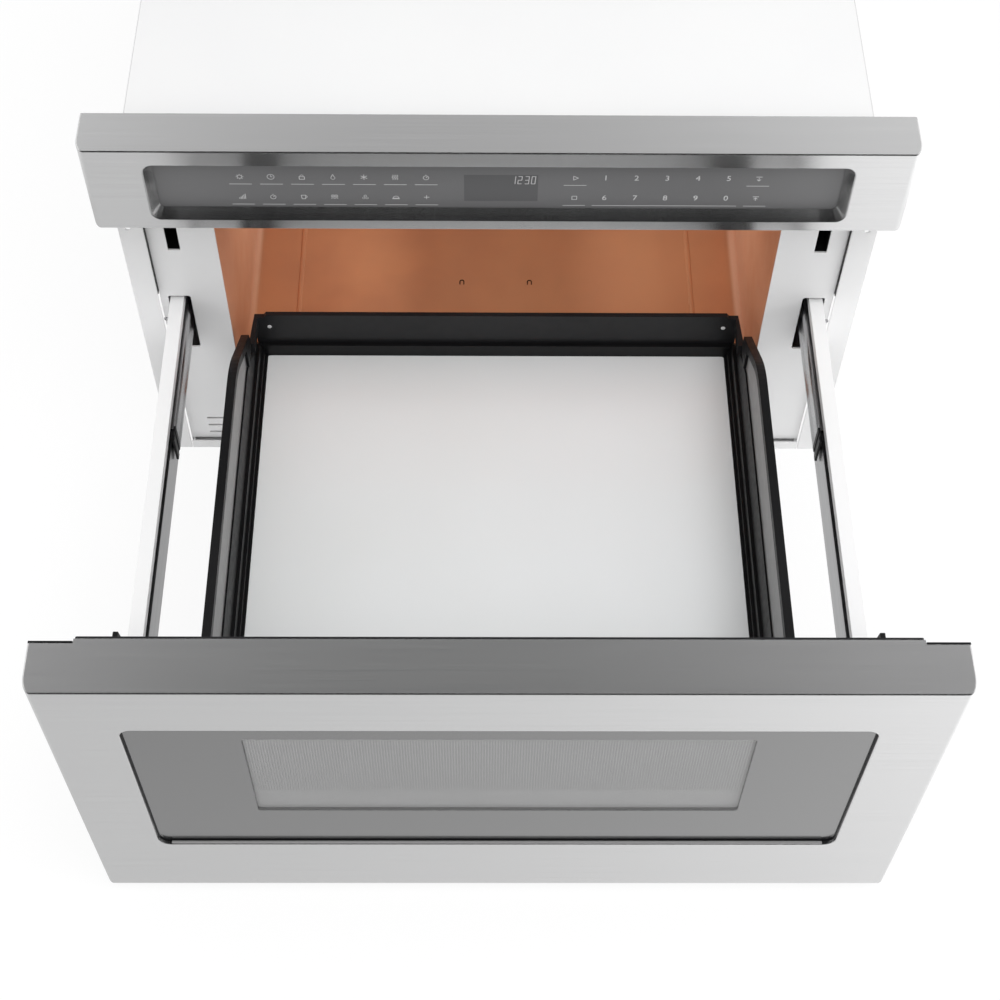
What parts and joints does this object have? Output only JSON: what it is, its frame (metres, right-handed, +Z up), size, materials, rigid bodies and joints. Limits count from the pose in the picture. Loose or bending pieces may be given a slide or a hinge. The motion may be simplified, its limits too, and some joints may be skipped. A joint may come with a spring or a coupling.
{
  "type": "microwave drawer",
  "caption": "Built-in microwave oven whose powered drawer slides out under a touch control panel, with a glass-floored tray and an inner cavity.",
  "frame": {"origin": "middle of the base's underside, half way along the body's depth; Z 0 is the surface that the body stands on", "axes": "+Z up, +Y to the back of the appliance, +X to the right seen from the front; the drawer stands open towards -Y"},
  "size_m": [0.606, 0.9818, 0.418],
  "materials": {
    "stainless": "fine horizontal brushing",
    "bright_steel": "bright zinc plate",
    "galvanised": "plain zinc-coated sheet",
    "motor_steel": "satin",
    "transformer_iron": "varnished laminations",
    "aluminium": "satin",
    "white_paint": "satin white powder coat",
    "grey_paint": "satin grey",
    "black_enamel": "satin black",
    "copper_liner": "satin copper-toned coating",
    "black_plastic": "fine moulded texture",
    "control_glass": "dark printed glass with touch keys",
    "drawer_glass": "grey tinted glass",
    "white_glass": "white glass-ceramic",
    "screen": "finely perforated sheet",
    "circuit_board": "solder mask",
    "mica": "mica sheet",
    "lamp": "frosted lamp"
  },
  "bodies": {
    "body": {"front_frame": "white_paint", "mounting_flange_left": "white_paint", "mounting_flange_right": "white_paint", "base_pan": "white_paint", "wrap_cover": "white_paint", "rear_cover": "white_paint", "cavity_liner": "copper_liner", "slide_support_left": "galvanised", "slide_support_right": "galvanised", "cabinet_slide_left": "bright_steel", "cabinet_slide_right": "bright_steel", "interlock_switch_left": "black_plastic", "interlock_switch_right": "black_plastic", "waveguide": "galvanised", "stirrer_cover": "mica", "stirrer_motor": "motor_steel", "magnetron": "motor_steel", "transformer": "transformer_iron", "capacitor": "aluminium", "fan_shroud": "black_plastic", "fan_motor": "motor_steel", "cord_inlet": "black_plastic", "power_board": "circuit_board", "cavity_lamp": "lamp", "control_trim": "stainless", "control_glass": "control_glass", "display_module": "black_plastic", "control_board": "circuit_board", "drive_motor": "motor_steel"},
    "drawer": {"drawer_skin": "stainless", "drawer_glass": "drawer_glass", "window_screen": "screen", "inner_plate": "black_enamel", "back_trim": "black_plastic", "latch_hook_left": "black_plastic", "latch_hook_right": "black_plastic", "rail_channel_left": "white_paint", "rail_channel_right": "white_paint", "drawer_slide_left": "bright_steel", "drawer_slide_right": "bright_steel", "drive_rack": "black_plastic", "rack_beam": "galvanised", "tray_pan": "galvanised", "tray_floor": "white_glass", "tray_frame": "black_plastic", "tray_side_left": "grey_paint", "tray_side_right": "grey_paint", "tray_rim_left": "black_plastic", "tray_rim_right": "black_plastic", "tray_rear_wall": "black_enamel"},
    "middle_slide_l": {"middle_slide_left": "bright_steel", "slide_stop_left": "black_plastic"},
    "middle_slide_r": {"middle_slide_right": "bright_steel", "slide_stop_right": "black_plastic"},
    "pinion": {"drive_pinion": "bright_steel"},
    "fan": {"cooling_fan": "black_plastic"},
    "stirrer": {"stirrer_fan": "aluminium"}
  },
  "joints": [
    {"name": "drawer_slide", "type": "slide", "parent": "body", "child": "drawer", "axis": [0, 1, 0], "range_m": [0, 0.388]},
    {"name": "middle_left_slide", "type": "slide", "parent": "body", "child": "middle_slide_l", "axis": [0, 1, 0], "range_m": [0, 0.194]},
    {"name": "middle_right_slide", "type": "slide", "parent": "body", "child": "middle_slide_r", "axis": [0, 1, 0], "range_m": [0, 0.194]},
    {"name": "pinion_spin", "type": "hinge", "parent": "body", "child": "pinion", "pos_m": [0, -0.2175, 0.0338], "axis": [1, 0, 0], "range_deg": [-1375, 0]},
    {"name": "fan_spin", "type": "hinge", "parent": "body", "child": "fan", "pos_m": [0.195, 0.26, 0.21], "axis": [0, 1, 0], "continuous": true},
    {"name": "stirrer_spin", "type": "hinge", "parent": "body", "child": "stirrer", "pos_m": [0, -0.0532, 0.32], "axis": [0, 0, 1], "continuous": true}
  ],
  "couplings": [
    {"joint": "middle_left_slide", "follows": "drawer_slide", "ratio": 0.5},
    {"joint": "middle_right_slide", "follows": "drawer_slide", "ratio": 0.5},
    {"joint": "pinion_spin", "follows": "drawer_slide", "rad_per_m": -61.728}
  ]
}
